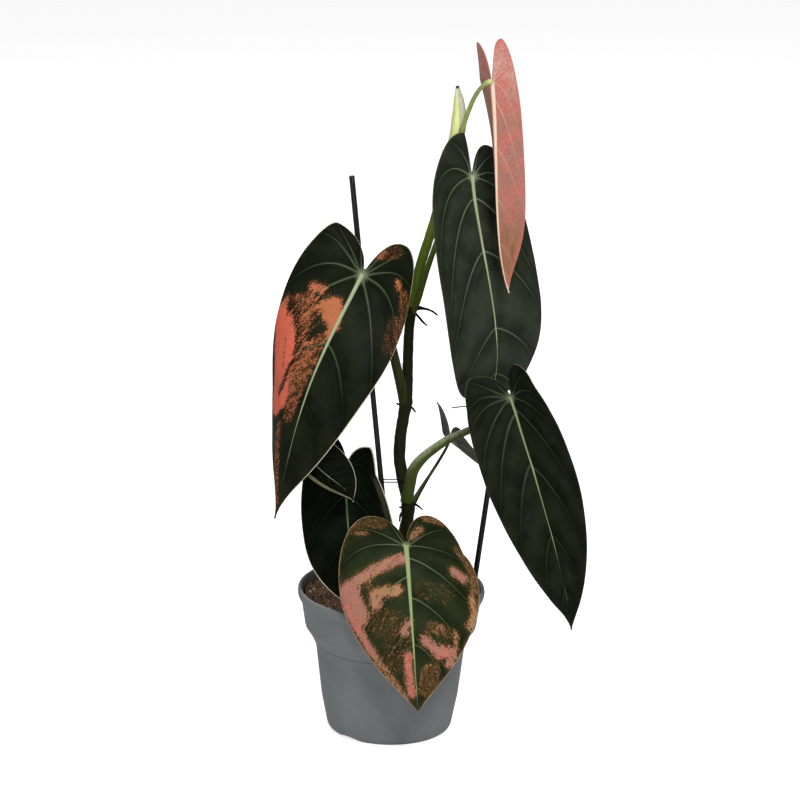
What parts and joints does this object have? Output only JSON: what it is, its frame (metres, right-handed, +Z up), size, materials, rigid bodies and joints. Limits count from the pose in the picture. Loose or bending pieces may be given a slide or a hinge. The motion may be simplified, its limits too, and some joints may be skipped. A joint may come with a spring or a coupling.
{
  "type": "potted variegated philodendron melanochrysum",
  "caption": "Climbing aroid in a plain round nursery pot, with long dark velvety heart-shaped leaves, two of them marbled pink, a new pink leaf, stakes and wire ties.",
  "frame": {"origin": "middle of the pot's flat underside, on the surface that the pot stands on", "axes": "+Z up, -Y towards the front that the picture shows, +X to the right as seen from the front"},
  "size_m": [0.2481, 0.168, 0.5739],
  "materials": {
    "pot": "matt mid-grey injection-moulded plastic",
    "soil": "dark brown loose potting mix of bark, peat and coir",
    "stake": "dark satin plant stake",
    "stem": "dark olive, slightly rough, living stem",
    "shoot": "fresh green, smooth",
    "sheath": "pale yellow-green, thin and a little translucent",
    "stalk_green": "green, smooth",
    "stalk_olive": "olive, smooth",
    "leaf_dark": "very dark green velvet with pale green veins",
    "leaf_marbled": "dark green velvet marbled with coral, pink and brown, pale veins",
    "leaf_pink": "dusty salmon pink, satin, cream veins",
    "leaf_grey": "grey-brown underside, matt",
    "tie": "black coated wire"
  },
  "bodies": {
    "root": {"pot": "pot", "soil": "soil", "stake_left": "stake", "stake_right": "stake", "stem": "stem", "shoot": "shoot", "sheath": "sheath", "stalk_new": "stalk_green", "stalk_top": "stalk_green", "stalk_left": "stalk_olive", "stalk_right": "stalk_green", "stalk_front": "stalk_olive", "stalk_low_left": "stalk_olive", "stalk_small_left": "stalk_olive", "stalk_small_right": "stalk_olive", "leaf_new": "leaf_pink", "leaf_top": "leaf_dark", "leaf_left": "leaf_marbled", "leaf_right": "leaf_dark", "leaf_front": "leaf_marbled", "leaf_low_left": "leaf_dark", "leaf_small_left": "leaf_dark", "leaf_small_right": "leaf_grey", "tie_left": "tie", "tie_right": "tie"}
  },
  "joints": []
}
